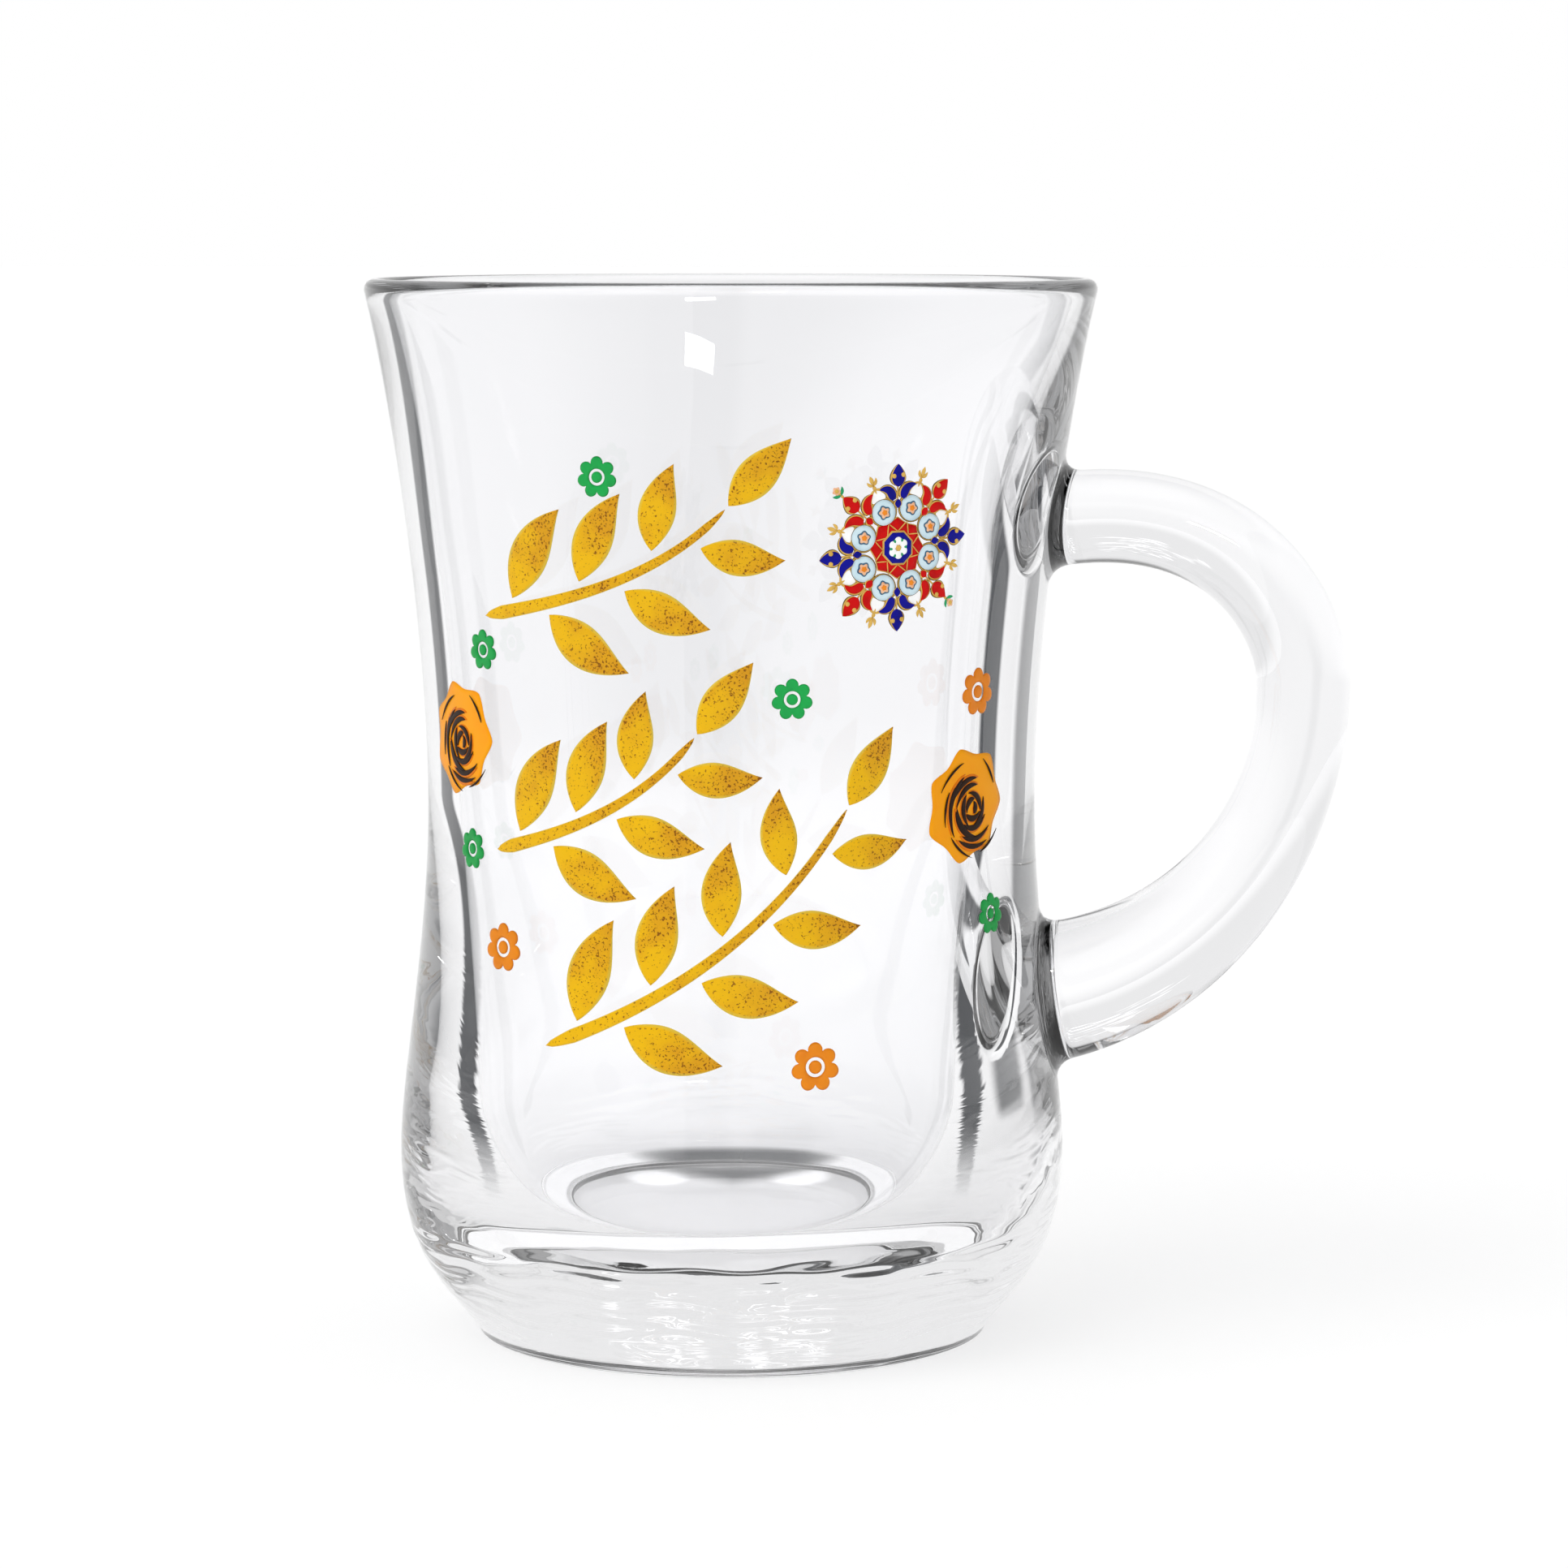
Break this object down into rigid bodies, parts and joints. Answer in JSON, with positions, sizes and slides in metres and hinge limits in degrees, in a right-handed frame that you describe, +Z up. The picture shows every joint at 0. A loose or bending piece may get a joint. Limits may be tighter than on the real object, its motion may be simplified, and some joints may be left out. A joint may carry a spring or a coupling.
{
  "type": "tea glass with handle",
  "caption": "Waisted clear pressed-glass tea mug with a flared rim, a thick round belly, a solid ear handle and a fired print of flowers, a medallion and gold leaf sprays.",
  "frame": {"origin": "on the cup's axis, in the plane that the foot ring stands on", "axes": "+Z up along the cup's axis, +X towards the handle, -Y towards the printed front"},
  "size_m": [0.0835, 0.062, 0.09],
  "materials": {
    "clear_glass": "clear, fire-polished, gloss",
    "medallion_enamel": "fired enamel in navy, red, pale blue and gold line",
    "green_enamel": "fired enamel, satin",
    "orange_enamel": "fired enamel, satin",
    "rose_enamel": "fired enamel with dark petal lines",
    "gold_enamel": "speckled gold enamel"
  },
  "bodies": {
    "root": {"glass_body": "clear_glass", "handle": "clear_glass", "medallion": "medallion_enamel", "green_flower_1": "green_enamel", "green_flower_2": "green_enamel", "green_flower_3": "green_enamel", "green_flower_4": "green_enamel", "green_flower_5": "green_enamel", "orange_flower_1": "orange_enamel", "orange_flower_2": "orange_enamel", "orange_flower_3": "orange_enamel", "rose_left": "rose_enamel", "rose_right": "rose_enamel", "gold_stem_1": "gold_enamel", "gold_leaf_1_1": "gold_enamel", "gold_leaf_1_2": "gold_enamel", "gold_leaf_1_3": "gold_enamel", "gold_leaf_1_4": "gold_enamel", "gold_leaf_1_5": "gold_enamel", "gold_leaf_1_6": "gold_enamel", "gold_leaf_1_tip": "gold_enamel", "gold_stem_2": "gold_enamel", "gold_leaf_2_1": "gold_enamel", "gold_leaf_2_2": "gold_enamel", "gold_leaf_2_3": "gold_enamel", "gold_leaf_2_4": "gold_enamel", "gold_leaf_2_5": "gold_enamel", "gold_leaf_2_6": "gold_enamel", "gold_leaf_2_tip": "gold_enamel", "gold_stem_3": "gold_enamel", "gold_leaf_3_1": "gold_enamel", "gold_leaf_3_2": "gold_enamel", "gold_leaf_3_3": "gold_enamel", "gold_leaf_3_4": "gold_enamel", "gold_leaf_3_5": "gold_enamel", "gold_leaf_3_6": "gold_enamel", "gold_leaf_3_7": "gold_enamel", "gold_leaf_3_8": "gold_enamel", "gold_leaf_3_tip": "gold_enamel"}
  },
  "joints": []
}
